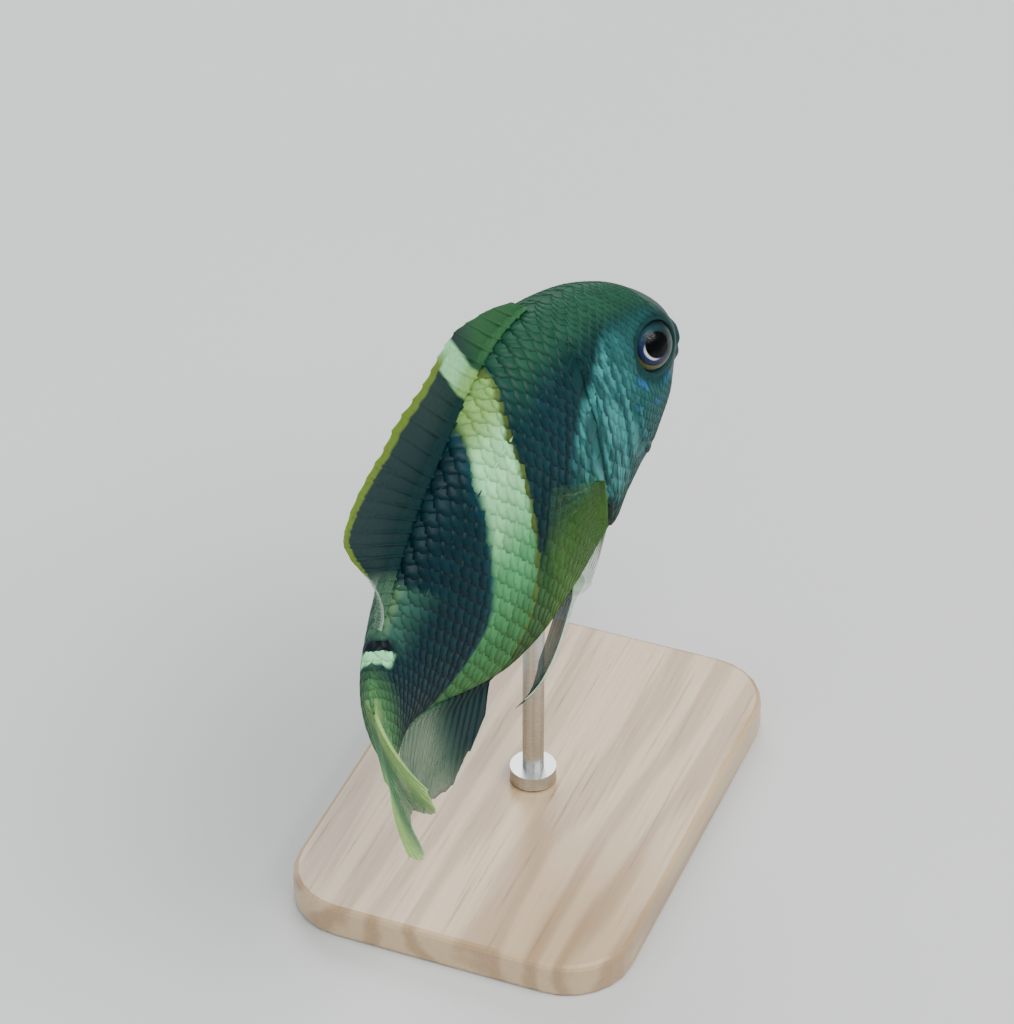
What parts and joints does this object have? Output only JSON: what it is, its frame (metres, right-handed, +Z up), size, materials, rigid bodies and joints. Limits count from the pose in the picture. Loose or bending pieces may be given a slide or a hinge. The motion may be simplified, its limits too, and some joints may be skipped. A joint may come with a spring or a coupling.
{
  "type": "twinspot damselfish model",
  "caption": "Life-size still model of a small deep-bodied reef damselfish, curved in a turn, held by a rod on a plain flat base.",
  "frame": {"origin": "middle of the underside of the stand's base, under the rod", "axes": "+Z up, +X ahead along the middle of the fish's body, +Y to the fish's left"},
  "size_m": [0.0952, 0.042, 0.0721],
  "materials": {
    "skin": "satin, fine scales, white bar and saddle",
    "fin": "thin rayed membrane, dark in front and clear behind, ochre margin",
    "eye": "clear and wet over a silver and gold iris",
    "base_wood": "fine grain, satin varnish",
    "rod_steel": "brushed"
  },
  "bodies": {
    "root": {"head": "skin", "trunk": "skin", "tail_stalk": "skin", "dorsal_fin_spiny": "fin", "dorsal_fin_soft": "fin", "anal_fin": "fin", "tail_fin": "fin", "pectoral_fin_left": "fin", "pectoral_fin_right": "fin", "pelvic_fin_left": "fin", "pelvic_fin_right": "fin", "eye_left": "eye", "eye_right": "eye", "stand_base": "base_wood", "stand_rod": "rod_steel"}
  },
  "joints": []
}
